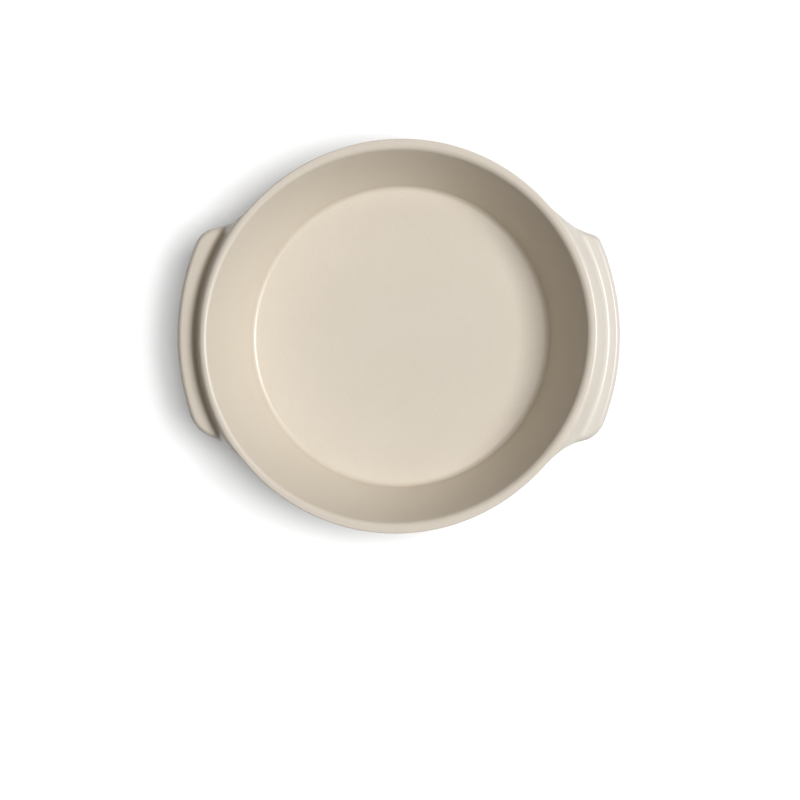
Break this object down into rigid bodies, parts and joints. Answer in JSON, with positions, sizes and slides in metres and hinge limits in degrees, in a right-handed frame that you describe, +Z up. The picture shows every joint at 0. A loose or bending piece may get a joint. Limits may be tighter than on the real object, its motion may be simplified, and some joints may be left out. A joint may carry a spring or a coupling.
{
  "type": "round baking dish",
  "caption": "Round glazed stoneware baking dish with leaning walls, a flat floor, a bare foot ring and a stepped ledge handle on each side.",
  "frame": {"origin": "centre of the foot ring's lower face, on the surface that the dish stands on", "axes": "+Z up along the dish's axis, +X through the middle of handle_right"},
  "size_m": [0.323, 0.285, 0.0651],
  "materials": {
    "glaze": "satin",
    "bare_clay": "matte"
  },
  "bodies": {
    "root": {"bowl": "glaze", "foot_ring": "bare_clay", "handle_right": "glaze", "handle_left": "glaze"}
  },
  "joints": []
}
